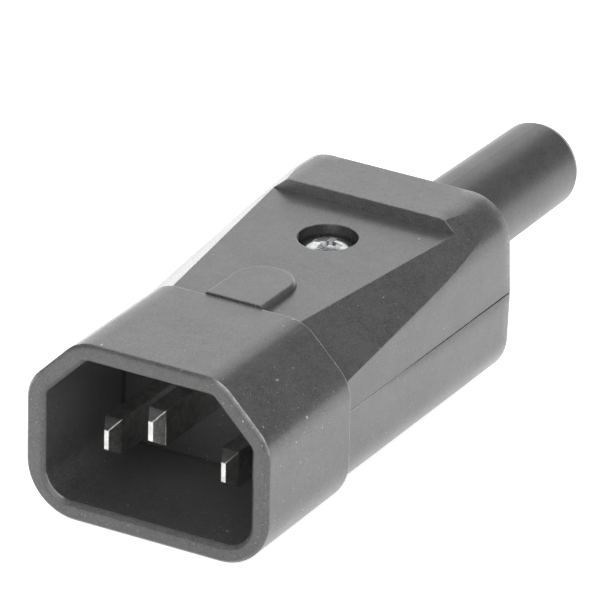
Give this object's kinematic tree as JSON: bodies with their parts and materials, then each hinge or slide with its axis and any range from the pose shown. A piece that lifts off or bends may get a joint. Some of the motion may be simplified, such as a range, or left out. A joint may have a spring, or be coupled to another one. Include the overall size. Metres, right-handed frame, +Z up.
{
  "type": "iec connector plug",
  "caption": "Rewirable appliance plug: open shroud around flat pins, screwed split housing with sunk grips and a thumb pad, and a flexible sleeve for the cable.",
  "frame": {"origin": "middle of the plug's length and width, on the surface it rests on", "axes": "+X across the plug, +Y from the mouth towards the cable sleeve, +Z up"},
  "size_m": [0.0288, 0.0826, 0.0217],
  "materials": {
    "housing_plastic": "fine moulded texture, satin",
    "clamp_plastic": "moulded, matte",
    "sleeve_rubber": "matte",
    "plated_pin": "nickel plated, satin",
    "zinc_screw": "bright zinc plated"
  },
  "bodies": {
    "root": {"front_shroud": "housing_plastic", "upper_shell": "housing_plastic", "lower_shell": "housing_plastic", "cable_clamp": "clamp_plastic", "cable_sleeve": "sleeve_rubber", "live_pin": "plated_pin", "neutral_pin": "plated_pin", "earth_pin": "plated_pin", "housing_screw": "zinc_screw", "terminal_screws": "zinc_screw", "clamp_screws": "zinc_screw"}
  },
  "joints": []
}
